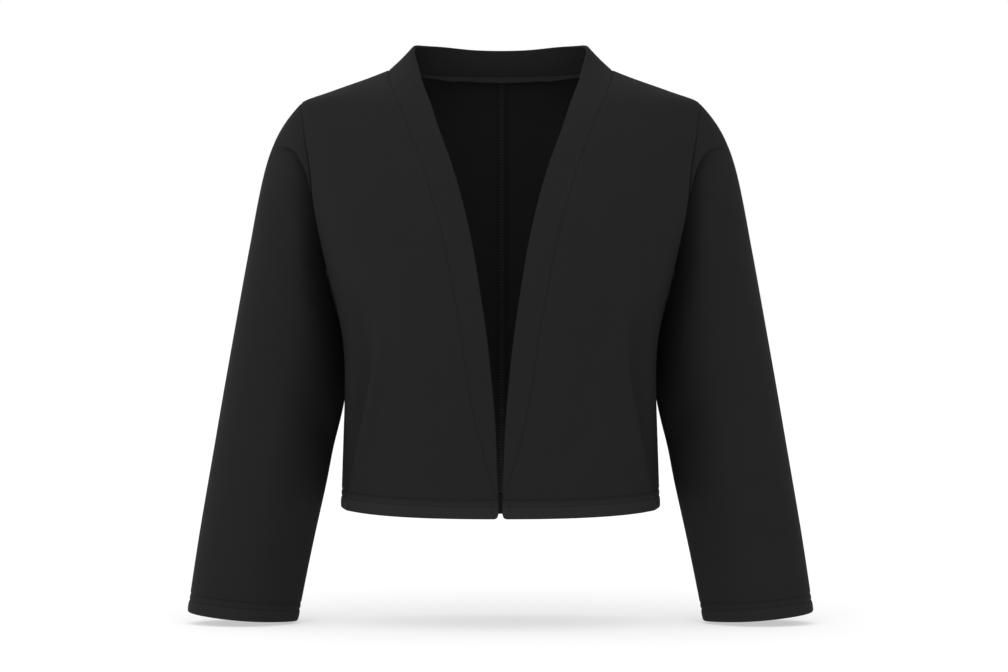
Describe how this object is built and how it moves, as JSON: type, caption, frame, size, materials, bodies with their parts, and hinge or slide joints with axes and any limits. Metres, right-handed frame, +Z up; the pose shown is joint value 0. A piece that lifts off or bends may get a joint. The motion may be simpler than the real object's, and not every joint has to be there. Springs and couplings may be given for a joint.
{
  "type": "cropped jacket",
  "caption": "Cropped open-front knit jacket with bracelet-length set-in sleeves and a front band that stands up as a collar, hollow as if worn.",
  "frame": {"origin": "on the shoulder line, midway between the neck ends of the two shoulder seams, where the wearer's shoulders hold it", "axes": "+X to the wearer's left across the shoulders, +Y to the wearer's back, +Z up"},
  "size_m": [0.5978, 0.2294, 0.5538],
  "materials": {
    "cloth": "matte black double knit"
  },
  "bodies": {
    "root": {"front_left": "cloth", "front_right": "cloth", "back_left": "cloth", "back_right": "cloth", "sleeve_front_left": "cloth", "sleeve_front_right": "cloth", "sleeve_back_left": "cloth", "sleeve_back_right": "cloth", "band": "cloth"}
  },
  "joints": []
}
